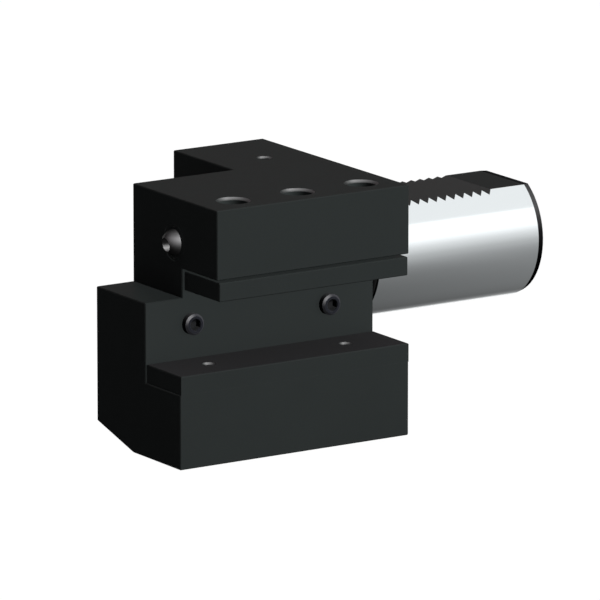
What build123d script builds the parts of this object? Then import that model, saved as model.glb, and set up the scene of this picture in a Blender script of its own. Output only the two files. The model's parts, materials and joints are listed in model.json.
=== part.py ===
from build123d import *
import math
import os

# Axial turret tool holder with a round shank, for a square-shank turning tool.
# Millimetres. +X runs along the shank to its free end, +Z is up, and the tool slot faces -Y.
# The origin is on the shank axis, in the plane of the flange face that meets the turret.

# Shank
shank_d = 50.0
shank_length = 78.0
lead_length = 2.5
lead_angle = 15.0
flat_height = 20.0
tooth_pitch = 4.0
tooth_rise = 2.25
tooth_depth = 1.6
tooth_count = 13
last_tooth_from_end = 17.75

# Rubber ring in a groove near the root of the shank, squeezed flush as it is in use
shank_land = 0.9
shank_groove_width = 2.9
shank_groove_depth = 2.8

# Block: a lower beam, an upper arm that overhangs the tool slot, and the flange behind
width = 100.0
top = 35.0
bottom = 60.0
lower_length = 100.0
arm_length = 84.0
flange_length = 40.0
arm_back = 8.0
beam_top = -2.0
bevel_width = 25.0
bevel_height = 7.0
edge_break = 0.3

# Tool slot. The seat lies one tool height below the shank axis, so the tool's top is at the axis.
tool_height = 25.0
slot_depth = 24.0
overhang_height = 9.0
plate_thickness = 7.0
plate_end_gap = 0.45
plate_wall_gap = 0.2

# Clamping strip, pushed down on the tool by three screws that it hangs from
strip_thickness = 7.0
strip_gap = 1.0
strip_end_gap = 0.75
strip_wall_gap = 0.3
strip_proud = 0.45
strip_counterbore_r = 6.0
strip_counterbore_depth = 3.0

# Clamp screws. Threads here and below are plain cylinders that run in plain bores.
clamp_screw_count = 3
clamp_screw_spacing = 28.0
clamp_screw_shift = 1.0
clamp_line_from_front = 12.5
clamp_screw_r = 5.45
clamp_screw_length = 18.0
clamp_hole_mouth = 0.95
clamp_screw_chamfer = 0.5
clamp_socket = 6.0
clamp_socket_depth = 7.0
dog_r = 3.5
dog_lift = 0.5
neck_r = 2.75
neck_from_tip = 0.7
retainer_thickness = 0.9
retainer_r = 5.0
retainer_mouth = 3.4

# Set screws that pin the seat plate to the slot floor
plate_screw_spacing = 60.0
plate_line_from_front = 12.5
plate_screw_r = 1.7
plate_screw_length = 12.0
plate_screw_sink = 2.5
plate_hole_mouth = 0.75
plate_socket = 2.0
plate_socket_depth = 2.0

# Side stop screws in the slot's wall
side_screw_spacing = 60.0
side_screw_above_seat = 13.0
side_screw_r = 4.0
side_screw_length = 20.0
side_screw_reach = 3.0
side_screw_retract = 3.0
side_screw_chamfer = 0.9
side_socket = 4.0
side_socket_depth = 4.0

# Coolant nozzle in the arm's end
nozzle_from_front = 29.5
nozzle_from_top = 17.0
ball_r = 5.0
ball_inset = 0.5
ball_fit = 0.05
jet_r = 2.5
jet_depth = 5.0
jet_feed_r = 1.8
jet_drop = 8.0
nozzle_ring_r = 7.0
nozzle_ring_length = 5.0
nozzle_ring_chamfer = 0.4
spanner_hole_r = 0.5
spanner_hole_depth = 1.2
seal_r = 3.75
seal_cord_r = 1.0

# Coolant drillings
cross_r = 3.0
feed_r = 2.5
riser_x = -18.5
riser_y = 20.0
riser_r = 2.1
inlet_z = -30.0
inlet_r = 4.0
inlet_depth = 22.0
inlet_seal_cord_r = 1.25
inlet_seal_r = 5.4
top_plug_r = 2.25
top_plug_length = 6.0
top_plug_sink = 3.0
top_hole_mouth = 0.65
top_plug_socket = 2.5
back_plug_r = 3.8
back_plug_length = 8.0
back_plug_sink = 0.5
back_plug_socket = 4.0
plug_socket_depth = 3.0
small_screw_chamfer = 0.35

# Clearances
thread_gap = 0.05
dog_gap = 0.1
seat_gap = 0.05
drill_tip = 1.0

# Places that follow from the sizes above
shank_r = shank_d / 2
shank_groove_r = shank_r - shank_groove_depth
shank_groove_end = shank_land + shank_groove_width
front = width / 2
flange_back = width / 2
slot_wall = slot_depth - front
seat_z = -tool_height
slot_floor = seat_z - plate_thickness
side_screw_z = seat_z + side_screw_above_seat
clamp_line = front - clamp_line_from_front
plate_screw_line = front - plate_line_from_front
strip_top = overhang_height - strip_gap
strip_bottom = strip_top - strip_thickness
arm_end = -arm_length
nozzle_y = nozzle_from_front - front
nozzle_z = top - nozzle_from_top
ball_x = arm_end + ball_inset
ball_centre = (ball_x, nozzle_y, nozzle_z)
seal_x = ball_x + math.sqrt((ball_r + seal_cord_r + seat_gap) ** 2 - seal_r**2)
nozzle_floor = seal_x + seal_cord_r + seat_gap
screw_rest = strip_top + seat_gap
dog_tip = strip_bottom + dog_lift
neck_low = dog_tip + neck_from_tip
counterbore_ceiling = strip_bottom + strip_counterbore_depth


def row(middle, spacing, count):
    """Evenly spaced places about a middle."""
    return [middle + spacing * (i - (count - 1) / 2) for i in range(count)]


clamp_screw_x = row(arm_end / 2 + clamp_screw_shift, clamp_screw_spacing, clamp_screw_count)
plate_screw_x = row((plate_end_gap - lower_length) / 2, plate_screw_spacing, 2)
side_screw_x = row(-lower_length / 2, side_screw_spacing, 2)


def block(x, y, z):
    """A box between the low and high corner values of each axis."""
    size = [high - low for low, high in (x, y, z)]
    middle = [(high + low) / 2 for low, high in (x, y, z)]
    return Pos(*middle) * Box(*size)


def rod(start, direction, radius, length):
    """A round bar from a point, along a direction."""
    plane = Plane(origin=start, z_dir=direction)
    return plane * Cylinder(radius, length, align=(Align.CENTER, Align.CENTER, Align.MIN))


def taper(start, direction, start_radius, end_radius, length):
    """A cone frustum from a point, along a direction."""
    plane = Plane(origin=start, z_dir=direction)
    return plane * Cone(start_radius, end_radius, length, align=(Align.CENTER, Align.CENTER, Align.MIN))


def mouth(start, direction, radius, width):
    """The 45 degree countersink of a hole that starts at a face."""
    return taper(start, direction, radius + width, radius, width)


def hexagon(start, direction, across, depth):
    """A hexagon socket, as wide across its flats as the key."""
    plane = Plane(origin=start, z_dir=direction)
    return extrude(plane * RegularPolygon(across / 2, 6, major_radius=False), depth)


def hoop(centre, direction, radius, cord_radius):
    """A round rubber ring."""
    return Plane(origin=centre, z_dir=direction) * Torus(radius, cord_radius)


def is_outer(edge, solid, probe=0.05):
    """True for an edge with material on at most two of the four sides around it."""
    middle = edge @ 0.5
    plane = Plane(origin=middle, z_dir=edge % 0.5)
    corners = [plane.from_local_coords((a * probe, b * probe, 0)) for a in (-1, 1) for b in (-1, 1)]
    return sum(solid.is_inside(corner) for corner in corners) <= 2


def break_edges(solid, width, keep_sharp):
    """Chamfers the outer edges, but not those that the test function keeps sharp."""
    edges = [edge for edge in solid.edges() if is_outer(edge, solid) and not keep_sharp(edge @ 0.5)]
    return chamfer(edges, width)


def holder_block():
    """Lower beam, arm and flange with the tool slot, edges broken, before any drilling."""
    beam = block((-lower_length, 0), (-front, arm_back), (-bottom, beam_top))
    arm = block((arm_end, 0), (-front, arm_back), (beam_top, top))
    flange = block((-flange_length, 0), (arm_back, flange_back), (-bottom, top))
    bevel_profile = Plane.YZ * Polyline(
        (arm_back, -bottom),
        (arm_back, bevel_height - bottom),
        (arm_back - bevel_width, -bottom),
        close=True,
    )
    bevel = Pos(-flange_length, 0, 0) * extrude(make_face(bevel_profile), flange_length - lower_length)
    slot = block((-lower_length, 0), (-front, slot_wall), (slot_floor, overhang_height))
    solid = (beam - bevel) + arm + flange - slot

    def on_seam(point):
        return abs(point.Y + front) < edge_break and abs(point.Z - slot_floor) < edge_break

    return break_edges(solid.solid(), edge_break, on_seam)


def shank():
    """Round bar with a lead chamfer, a ring groove at its root and a toothed flat."""
    lead_drop = lead_length * math.tan(math.radians(lead_angle))
    bar = rod((0, 0, 0), (1, 0, 0), shank_r, shank_length - lead_length)
    lead = taper((shank_length - lead_length, 0, 0), (1, 0, 0), shank_r, shank_r - lead_drop, lead_length)
    groove = rod((shank_land, 0, 0), (1, 0, 0), shank_d, shank_groove_width)
    groove -= rod((shank_land, 0, 0), (1, 0, 0), shank_groove_r, shank_groove_width)
    return (bar + lead) - groove - tooth_cutter()


def tooth_cutter():
    """What is milled off above the flat, with a saw-tooth lower side."""
    last_peak = shank_length - last_tooth_from_end
    first_peak = last_peak - tooth_count * tooth_pitch
    outline = [(shank_groove_end, flat_height), (first_peak, flat_height)]
    for tooth in range(tooth_count):
        peak = first_peak + tooth * tooth_pitch
        outline.append((peak + tooth_rise, flat_height - tooth_depth))
        outline.append((peak + tooth_pitch, flat_height))
    outline += [(shank_length, flat_height), (shank_length, shank_r), (shank_groove_end, shank_r)]
    profile = make_face(Plane.XZ * Polyline(*outline, close=True))
    return extrude(profile, shank_r, both=True)


def clamp_holes():
    """Three threaded holes from the top of the arm down into the slot."""
    hole_r = clamp_screw_r + thread_gap
    cut = []
    for x in clamp_screw_x:
        cut.append(rod((x, -clamp_line, overhang_height), (0, 0, 1), hole_r, top - overhang_height))
        cut.append(mouth((x, -clamp_line, top), (0, 0, -1), hole_r, clamp_hole_mouth))
    return cut


def side_holes():
    """Blind threaded holes in the slot's wall, deep enough for the screws to draw back."""
    depth = side_screw_length - side_screw_reach + side_screw_retract + drill_tip
    hole_r = side_screw_r + thread_gap
    return [rod((x, slot_wall, side_screw_z), (0, 1, 0), hole_r, depth) for x in side_screw_x]


def plate_pin_holes():
    """Blind threaded holes in the slot floor for the screws that pin the seat plate."""
    depth = plate_screw_sink + plate_screw_length - plate_thickness + drill_tip
    hole_r = plate_screw_r + thread_gap
    return [rod((x, -plate_screw_line, slot_floor), (0, 0, -1), hole_r, depth) for x in plate_screw_x]


def coolant_drillings():
    """Inlet in the flange face, riser from the top, cross drilling from the back and nozzle bore."""
    inlet_mouth = (0, riser_y, inlet_z)
    groove_r = inlet_seal_r + inlet_seal_cord_r + seat_gap
    inlet = rod(inlet_mouth, (-1, 0, 0), inlet_r, inlet_depth)
    inlet_groove = rod(inlet_mouth, (-1, 0, 0), groove_r, 2 * inlet_seal_cord_r)

    riser_mouth = (riser_x, riser_y, top)
    top_hole_r = top_plug_r + thread_gap
    riser = rod(riser_mouth, (0, 0, -1), riser_r, top - inlet_z)
    top_hole = rod(riser_mouth, (0, 0, -1), top_hole_r, top_plug_sink + top_plug_length + seat_gap)
    top_rim = mouth(riser_mouth, (0, 0, -1), top_hole_r, top_hole_mouth)

    cross_mouth = (riser_x, flange_back, nozzle_z)
    back_hole_r = back_plug_r + thread_gap
    cross = rod(cross_mouth, (0, -1, 0), cross_r, flange_back - nozzle_y + feed_r + drill_tip)
    back_hole = rod(cross_mouth, (0, -1, 0), back_hole_r, back_plug_sink + back_plug_length + seat_gap)
    back_rim = mouth(cross_mouth, (0, -1, 0), back_hole_r, back_plug_sink)

    nozzle_mouth = (arm_end, nozzle_y, nozzle_z)
    feed = rod(nozzle_mouth, (1, 0, 0), feed_r, riser_x - arm_end)
    ring_hole = rod(nozzle_mouth, (1, 0, 0), nozzle_ring_r + thread_gap, nozzle_floor - arm_end)
    return [inlet, inlet_groove, riser, top_hole, top_rim, cross, back_hole, back_rim, feed, ring_hole]


def holder_body():
    """The one-piece steel body: block and shank, with every drilling."""
    solid = holder_block() + shank()
    for cut in clamp_holes() + side_holes() + plate_pin_holes() + coolant_drillings():
        solid -= cut
    return solid


def shank_o_ring():
    """Rubber ring that seals the shank in the turret's bore."""
    middle = (shank_land + shank_groove_end) / 2
    cord_r = shank_groove_depth / 2 - seat_gap
    return hoop((middle, 0, 0), (1, 0, 0), (shank_r + shank_groove_r) / 2, cord_r)


def clamping_strip():
    """Pressure strip with three holes for the dog points, counterbored underneath."""
    x = (arm_end + strip_end_gap, -strip_end_gap)
    y = (-front - strip_proud, slot_wall - strip_wall_gap)
    solid = break_edges(block(x, y, (strip_bottom, strip_top)), edge_break, lambda point: False)
    for hole_x in clamp_screw_x:
        hole_low = (hole_x, -clamp_line, strip_bottom)
        solid -= rod(hole_low, (0, 0, 1), dog_r + dog_gap, strip_thickness)
        solid -= rod(hole_low, (0, 0, 1), strip_counterbore_r, strip_counterbore_depth)
    return solid


def clamp_screw(x):
    """Set screw with a socket above, a shoulder on the strip and a necked dog point through it."""
    y = -clamp_line
    screw_top = screw_rest + clamp_screw_length
    thread = rod((x, y, screw_rest), (0, 0, 1), clamp_screw_r, clamp_screw_length)
    thread = chamfer(thread.edges().filter_by(GeomType.CIRCLE), clamp_screw_chamfer)
    dog = rod((x, y, dog_tip), (0, 0, 1), dog_r, screw_rest - dog_tip)
    neck = rod((x, y, neck_low), (0, 0, 1), dog_r + dog_gap, counterbore_ceiling - neck_low)
    neck -= rod((x, y, neck_low), (0, 0, 1), neck_r, counterbore_ceiling - neck_low)
    socket = hexagon((x, y, screw_top), (0, 0, -1), clamp_socket, clamp_socket_depth)
    return thread + (dog - neck) - socket


def retaining_ring(x):
    """Open snap ring in the neck of a clamp screw, under the strip's counterbore ceiling."""
    y = -clamp_line
    low = (neck_low + counterbore_ceiling - retainer_thickness) / 2
    ring = rod((x, y, low), (0, 0, 1), retainer_r, retainer_thickness)
    ring -= rod((x, y, low), (0, 0, 1), neck_r + seat_gap, retainer_thickness)
    half_mouth = retainer_mouth / 2
    ring -= block((x, x + retainer_r), (y - half_mouth, y + half_mouth), (low, low + retainer_thickness))
    return ring


def seat_plate():
    """Hardened plate that packs the slot floor up to the tool seat."""
    x = (plate_end_gap - lower_length, 0)
    y = (-front, slot_wall - plate_wall_gap)

    def below_seat(point):
        return point.Z < seat_z - edge_break

    solid = break_edges(block(x, y, (slot_floor, seat_z)), edge_break, below_seat)
    hole_r = plate_screw_r + thread_gap
    for hole_x in plate_screw_x:
        solid -= rod((hole_x, -plate_screw_line, seat_z), (0, 0, -1), hole_r, plate_thickness)
        solid -= mouth((hole_x, -plate_screw_line, seat_z), (0, 0, -1), hole_r, plate_hole_mouth)
    return solid


def set_screw(start, direction, size, socket, rim):
    """Headless screw from its socket end. Size is radius and length, socket is key width and depth."""
    body = rod(start, direction, *size)
    body = chamfer(body.edges().filter_by(GeomType.CIRCLE), rim)
    return body - hexagon(start, direction, *socket)


def plate_screw(x):
    """Set screw through the seat plate into the slot floor."""
    start = (x, -plate_screw_line, seat_z - plate_screw_sink)
    size = (plate_screw_r, plate_screw_length)
    return set_screw(start, (0, 0, -1), size, (plate_socket, plate_socket_depth), small_screw_chamfer)


def side_screw(x):
    """Side stop screw, standing out of the slot's wall."""
    start = (x, slot_wall - side_screw_reach, side_screw_z)
    size = (side_screw_r, side_screw_length)
    return set_screw(start, (0, 1, 0), size, (side_socket, side_socket_depth), side_screw_chamfer)


def jet_direction():
    """The way the coolant leaves the ball: out of the arm's end and slightly down."""
    drop = math.radians(jet_drop)
    return Vector(-math.cos(drop), 0, -math.sin(drop))


def nozzle_ball():
    """Steel ball with a jet bore, narrower behind."""
    centre = Vector(*ball_centre)
    jet = jet_direction()
    ball = Pos(centre) * Sphere(ball_r)
    bore = rod(centre + jet * ball_r, -jet, jet_r, jet_depth)
    feed = rod(centre + jet * ball_r, -jet, jet_feed_r, 2 * ball_r)
    return ball - bore - feed


def nozzle_ring():
    """Threaded ring, flush with the arm's end, with a ball seat and two holes for a pin spanner."""
    ring = rod((arm_end, nozzle_y, nozzle_z), (1, 0, 0), nozzle_ring_r, nozzle_ring_length)
    ring = chamfer(ring.edges().filter_by(GeomType.CIRCLE), nozzle_ring_chamfer)
    ring -= Pos(*ball_centre) * Sphere(ball_r + ball_fit)
    ring -= rod((ball_x, nozzle_y, nozzle_z), (1, 0, 0), ball_r + ball_fit, nozzle_ring_length)
    hole_line = (ball_r + nozzle_ring_r) / 2
    for z in (nozzle_z - hole_line, nozzle_z + hole_line):
        ring -= rod((arm_end, nozzle_y, z), (1, 0, 0), spanner_hole_r, spanner_hole_depth)
    return ring


def nozzle_seal():
    """Rubber ring behind the ball."""
    return hoop((seal_x, nozzle_y, nozzle_z), (1, 0, 0), seal_r, seal_cord_r)


def inlet_seal():
    """Rubber ring around the coolant inlet, flush with the flange face as it is in use."""
    return hoop((-inlet_seal_cord_r, riser_y, inlet_z), (1, 0, 0), inlet_seal_r, inlet_seal_cord_r)


def top_plug():
    """Screw that closes the riser at the top of the flange."""
    start = (riser_x, riser_y, top - top_plug_sink)
    size = (top_plug_r, top_plug_length)
    return set_screw(start, (0, 0, -1), size, (top_plug_socket, plug_socket_depth), small_screw_chamfer)


def back_plug():
    """Screw that closes the cross drilling at the back of the flange."""
    start = (riser_x, flange_back - back_plug_sink, nozzle_z)
    size = (back_plug_r, back_plug_length)
    return set_screw(start, (0, -1, 0), size, (back_plug_socket, plug_socket_depth), small_screw_chamfer)


pieces = {
    "holder_body": holder_body(),
    "shank_o_ring": shank_o_ring(),
    "clamping_strip": clamping_strip(),
    "seat_plate": seat_plate(),
    "nozzle_ball": nozzle_ball(),
    "nozzle_ring": nozzle_ring(),
    "nozzle_seal": nozzle_seal(),
    "coolant_inlet_seal": inlet_seal(),
    "coolant_top_plug": top_plug(),
    "coolant_back_plug": back_plug(),
}
for number, x in enumerate(clamp_screw_x, start=1):
    pieces[f"clamp_screw_{number}"] = clamp_screw(x)
    pieces[f"screw_retaining_ring_{number}"] = retaining_ring(x)
for number, x in enumerate(plate_screw_x, start=1):
    pieces[f"seat_plate_screw_{number}"] = plate_screw(x)
for number, x in enumerate(side_screw_x, start=1):
    pieces[f"side_stop_screw_{number}"] = side_screw(x)

os.makedirs("parts", exist_ok=True)
for name, piece in pieces.items():
    export_step(piece, f"parts/{name}.step")
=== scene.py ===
import bpy
import json
import math
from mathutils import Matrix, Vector


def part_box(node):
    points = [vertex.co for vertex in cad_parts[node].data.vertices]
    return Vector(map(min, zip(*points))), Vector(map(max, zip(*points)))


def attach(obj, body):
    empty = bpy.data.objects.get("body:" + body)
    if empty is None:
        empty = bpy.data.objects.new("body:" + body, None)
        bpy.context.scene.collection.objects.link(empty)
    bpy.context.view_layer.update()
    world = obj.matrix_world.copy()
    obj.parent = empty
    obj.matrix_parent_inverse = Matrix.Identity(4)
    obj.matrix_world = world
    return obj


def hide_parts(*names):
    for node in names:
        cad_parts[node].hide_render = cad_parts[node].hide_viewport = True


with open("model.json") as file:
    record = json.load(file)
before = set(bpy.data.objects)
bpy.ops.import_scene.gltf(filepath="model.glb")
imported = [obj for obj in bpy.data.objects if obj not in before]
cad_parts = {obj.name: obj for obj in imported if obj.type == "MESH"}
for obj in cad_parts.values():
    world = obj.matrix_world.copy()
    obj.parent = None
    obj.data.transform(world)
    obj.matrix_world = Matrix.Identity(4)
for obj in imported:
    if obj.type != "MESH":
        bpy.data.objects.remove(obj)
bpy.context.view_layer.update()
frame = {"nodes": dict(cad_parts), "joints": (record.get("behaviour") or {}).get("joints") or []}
nodes = frame["nodes"]
mm = 0.001
print("frame loaded, nodes:", len(nodes))


# Modelling helpers: sizes in millimetres, pieces made upright on the Z axis, then placed

closeGap = 2e-6  # metres; points nearer than this become one
sliverGap = 1e-5  # metres; the same where the cuts leave slivers
overcut = 1.0  # how far a cutter reaches past what it cuts


def nothingSelected():
    if bpy.context.mode != "OBJECT":
        bpy.ops.object.mode_set(mode="OBJECT")
    bpy.ops.object.select_all(action="DESELECT")


def pick(piece):
    nothingSelected()
    piece.select_set(True)
    bpy.context.view_layer.objects.active = piece


def applyModifier(piece, kind, **settings):
    pick(piece)
    modifier = piece.modifiers.new(kind.title(), kind)
    for name, value in settings.items():
        setattr(modifier, name, value)
    bpy.ops.object.modifier_apply(modifier=modifier.name)


def combine(piece, other, how):
    applyModifier(piece, "BOOLEAN", operation=how, object=other, solver="EXACT")
    bpy.data.objects.remove(other)


def drawProfile(points):
    # one vertex, extruded from point to point in the XZ plane: (radius, height)
    nothingSelected()
    bpy.ops.mesh.primitive_plane_add(size=mm)
    bpy.ops.object.mode_set(mode="EDIT")
    bpy.ops.mesh.select_all(action="SELECT")
    bpy.ops.mesh.merge(type="CENTER")
    path = [Vector((radius, 0, height)) * mm for radius, height in points]
    bpy.ops.transform.translate(value=path[0])
    for here, there in zip(path, path[1:]):
        bpy.ops.mesh.extrude_region_move(TRANSFORM_OT_translate={"value": there - here})
    return bpy.context.object


def tidyMesh(piece, gap=closeGap):
    pick(piece)
    bpy.ops.object.mode_set(mode="EDIT")
    bpy.ops.mesh.select_all(action="SELECT")
    bpy.ops.mesh.remove_doubles(threshold=gap)
    bpy.ops.mesh.dissolve_degenerate(threshold=gap)
    bpy.ops.mesh.normals_make_consistent(inside=False)
    bpy.ops.object.mode_set(mode="OBJECT")


def turned(points, steps=64):
    # a lathe piece: the profile spun once round the Z axis
    piece = drawProfile(points)
    bpy.ops.mesh.select_all(action="SELECT")
    bpy.ops.mesh.spin(steps=steps, angle=2 * math.pi, center=(0, 0, 0), axis=(0, 0, 1))
    tidyMesh(piece)
    return piece


def arcPoints(centre, radius, start, end, count):
    # points on an arc, angles in degrees from the radius direction
    angles = [math.radians(start + (end - start) * i / count) for i in range(count + 1)]
    return [(centre[0] + radius * math.cos(a), centre[1] + radius * math.sin(a)) for a in angles]


def hexBar(across, low, high):
    # across is measured over the flats
    nothingSelected()
    bpy.ops.mesh.primitive_cylinder_add(vertices=6, radius=across / math.sqrt(3) * mm,
                                        depth=(high - low) * mm, location=(0, 0, (low + high) / 2 * mm))
    bpy.ops.object.transform_apply(location=True, rotation=False, scale=False)
    return bpy.context.object


def boxBar(size, centre):
    nothingSelected()
    bpy.ops.mesh.primitive_cube_add(size=mm, location=Vector(centre) * mm)
    bpy.context.object.scale = size
    bpy.ops.object.transform_apply(location=True, rotation=False, scale=True)
    return bpy.context.object


threadShape = {
    "crestFrom": 0.4, "crestTo": 0.52, "rootFrom": 0.92,  # shares of one turn
    "spareTurns": 1.5, "steps": 36,
    "beyond": 0.1,  # how far the chamfers' cutter reaches past the bar
}


def threadedBar(spec, low, high):
    # a thread wound up from one turn's profile, cut flat at both ends and chamfered
    pitch, crest, root = spec["pitch"], spec["crest"], spec["crest"] - spec["threadDepth"]
    steps, spare, beyond = threadShape["steps"], threadShape["spareTurns"], threadShape["beyond"]
    turn = [(root, 0.0), (crest, threadShape["crestFrom"]), (crest, threadShape["crestTo"]),
            (root, threadShape["rootFrom"]), (root, 1.0)]
    bar = drawProfile([(radius, low + (height - spare) * pitch) for radius, height in turn])
    applyModifier(bar, "SCREW", axis="Z", angle=2 * math.pi, screw_offset=pitch * mm,
                  iterations=math.ceil((high - low) / pitch + 2 * spare), steps=steps, render_steps=steps,
                  use_merge_vertices=True, merge_threshold=1e-6, use_smooth_shade=False)
    bpy.ops.object.mode_set(mode="EDIT")
    for height, below in ((low, True), (high, False)):
        bpy.ops.mesh.select_all(action="SELECT")
        bpy.ops.mesh.bisect(plane_co=(0, 0, height * mm), plane_no=(0, 0, 1), use_fill=True,
                            clear_inner=below, clear_outer=not below, threshold=1e-7)
    tidyMesh(bar)
    narrow, wide = crest - spec["chamfer"] - beyond, crest + beyond
    slope = spec["chamfer"] + beyond
    combine(bar, turned([
        (0, low - beyond), (narrow, low - beyond), (wide, low + slope),
        (wide, high - slope), (narrow, high + beyond), (0, high + beyond),
    ]), "INTERSECT")
    return bar


socketShape = {
    "drill": 0.96, "drillTip": 0.4,  # shares of half the width over flats
    "overlap": 0.05, "rim": 0.08, "rimOver": 0.15,
}


def cutSocket(piece, spec, top):
    # hexagon socket with a drilled bottom and a small countersink at its mouth
    inner, outer = spec["socket"] / 2, spec["socket"] / math.sqrt(3)
    bottom = top - spec["socketDepth"]
    combine(piece, hexBar(spec["socket"], bottom, top + overcut), "DIFFERENCE")
    drill, drillTop = inner * socketShape["drill"], bottom + socketShape["overlap"]
    drillTip = bottom - inner * socketShape["drillTip"]
    combine(piece, turned([(0, drillTip), (drill, bottom), (drill, drillTop), (0, drillTop)]), "DIFFERENCE")
    rim, over = outer + socketShape["rim"], socketShape["rimOver"]
    combine(piece, turned([(0, top - rim), (rim + over, top + over), (0, top + over)]), "DIFFERENCE")


def softened(piece, width):
    applyModifier(piece, "BEVEL", width=width * mm, segments=2, limit_method="ANGLE",
                  angle_limit=math.radians(35), use_clamp_overlap=True)


def smoothed(piece, angle=30):
    pick(piece)
    bpy.ops.object.shade_smooth_by_angle(angle=math.radians(angle))


def placed(piece, position, direction):
    pick(piece)
    piece.rotation_mode = "QUATERNION"
    piece.rotation_quaternion = Vector((0, 0, 1)).rotation_difference(Vector(direction).normalized())
    piece.location = Vector(position) * mm
    bpy.ops.object.transform_apply(location=True, rotation=True, scale=True)


def copied(piece):
    twin = piece.copy()
    twin.data = piece.data.copy()
    bpy.context.scene.collection.objects.link(twin)
    return twin


def giveMaterials(piece, *materials):
    for material in materials:
        piece.data.materials.append(material)


def finishPiece(piece, name, material, node, body):
    piece.name = name
    if piece.data.materials:
        piece.data.materials[0] = material
    else:
        giveMaterials(piece, material)
    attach(piece, body)
    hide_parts(node)


# Shader node groups, each built once and used by several materials

def newGroup(name, inputs, outputs):
    tree = bpy.data.node_groups.new(name, "ShaderNodeTree")
    for socketName, kind, value in inputs:
        socket = tree.interface.new_socket(name=socketName, in_out="INPUT", socket_type=kind)
        socket.default_value = value
    for socketName, kind in outputs:
        tree.interface.new_socket(name=socketName, in_out="OUTPUT", socket_type=kind)
    return tree, tree.nodes.new("NodeGroupInput"), tree.nodes.new("NodeGroupOutput")


def addNode(tree, kind, settings=None, values=None):
    node = tree.nodes.new(kind)
    for name, value in (settings or {}).items():
        setattr(node, name, value)
    for name, value in (values or {}).items():
        node.inputs[name].default_value = value
    return node


def buildSurfaceMottle():
    # slow and fine tone changes of a chemically blackened or ground surface
    tree, given, result = newGroup("surfaceMottle", [
        ("Vector", "NodeSocketVector", (0, 0, 0)), ("Cloud Scale", "NodeSocketFloat", 60.0),
        ("Speck Scale", "NodeSocketFloat", 900.0), ("Amount", "NodeSocketFloat", 0.1),
    ], [("Tone", "NodeSocketFloat"), ("Cloud", "NodeSocketFloat")])
    link = tree.links.new
    cloud = addNode(tree, "ShaderNodeTexNoise", values={"Detail": 4.0, "Roughness": 0.6})
    speck = addNode(tree, "ShaderNodeTexNoise", values={"Detail": 2.0, "Roughness": 0.5})
    link(given.outputs["Vector"], cloud.inputs["Vector"])
    link(given.outputs["Vector"], speck.inputs["Vector"])
    link(given.outputs["Cloud Scale"], cloud.inputs["Scale"])
    link(given.outputs["Speck Scale"], speck.inputs["Scale"])
    both = addNode(tree, "ShaderNodeMath", {"operation": "ADD"})
    link(cloud.outputs["Fac"], both.inputs[0])
    link(speck.outputs["Fac"], both.inputs[1])
    centred = addNode(tree, "ShaderNodeMath", {"operation": "SUBTRACT"}, {1: 1.0})
    link(both.outputs[0], centred.inputs[0])
    tone = addNode(tree, "ShaderNodeMath", {"operation": "MULTIPLY_ADD"}, {2: 1.0})
    link(centred.outputs[0], tone.inputs[0])
    link(given.outputs["Amount"], tone.inputs[1])
    link(tone.outputs[0], result.inputs["Tone"])
    link(cloud.outputs["Fac"], result.inputs["Cloud"])
    return tree


def buildToolMarks():
    # fine parallel marks of milling or grinding, as a height; Stretch sets their direction and pitch
    tree, given, result = newGroup("toolMarks", [
        ("Vector", "NodeSocketVector", (0, 0, 0)), ("Stretch", "NodeSocketVector", (60, 2500, 2500)),
    ], [("Height", "NodeSocketFloat")])
    link = tree.links.new
    stretch = addNode(tree, "ShaderNodeVectorMath", {"operation": "MULTIPLY"})
    link(given.outputs["Vector"], stretch.inputs[0])
    link(given.outputs["Stretch"], stretch.inputs[1])
    marks = addNode(tree, "ShaderNodeTexNoise", values={"Scale": 1.0, "Detail": 3.0, "Roughness": 0.7})
    link(stretch.outputs[0], marks.inputs["Vector"])
    link(marks.outputs["Fac"], result.inputs["Height"])
    return tree


def buildEdgeWear():
    # where the black has rubbed off along edges, broken up by a noise
    tree, given, result = newGroup("edgeWear", [
        ("Vector", "NodeSocketVector", (0, 0, 0)), ("Width", "NodeSocketFloat", 0.0004),
        ("Amount", "NodeSocketFloat", 0.5), ("Break Scale", "NodeSocketFloat", 400.0),
    ], [("Mask", "NodeSocketFloat")])
    link = tree.links.new
    rounded = addNode(tree, "ShaderNodeBevel", {"samples": 4})
    link(given.outputs["Width"], rounded.inputs["Radius"])
    flat = addNode(tree, "ShaderNodeNewGeometry")
    turn = addNode(tree, "ShaderNodeVectorMath", {"operation": "DOT_PRODUCT"})
    link(rounded.outputs["Normal"], turn.inputs[0])
    link(flat.outputs["Normal"], turn.inputs[1])
    edge = addNode(tree, "ShaderNodeMapRange", {"clamp": True}, {"From Min": 0.99, "From Max": 0.9})
    link(turn.outputs["Value"], edge.inputs["Value"])
    noise = addNode(tree, "ShaderNodeTexNoise", values={"Detail": 3.0})
    link(given.outputs["Vector"], noise.inputs["Vector"])
    link(given.outputs["Break Scale"], noise.inputs["Scale"])
    breaks = addNode(tree, "ShaderNodeMapRange", {"clamp": True}, {"From Min": 0.35, "From Max": 0.65})
    link(noise.outputs["Fac"], breaks.inputs["Value"])
    broken = addNode(tree, "ShaderNodeMath", {"operation": "MULTIPLY"})
    link(edge.outputs["Result"], broken.inputs[0])
    link(breaks.outputs["Result"], broken.inputs[1])
    amount = addNode(tree, "ShaderNodeMath", {"operation": "MULTIPLY"})
    link(broken.outputs[0], amount.inputs[0])
    link(given.outputs["Amount"], amount.inputs[1])
    link(amount.outputs[0], result.inputs["Mask"])
    return tree


surfaceMottle = buildSurfaceMottle()
toolMarks = buildToolMarks()
edgeWear = buildEdgeWear()
print("shader groups built")


# Material helpers: a value given to them is a plain one or another node's socket

mixSockets = {"RGBA": (6, 7, 2), "FLOAT": (2, 3, 0)}  # numbers of the first, second and result sockets
markHeight = 0.02  # how far the bumps seem to stand out


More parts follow.
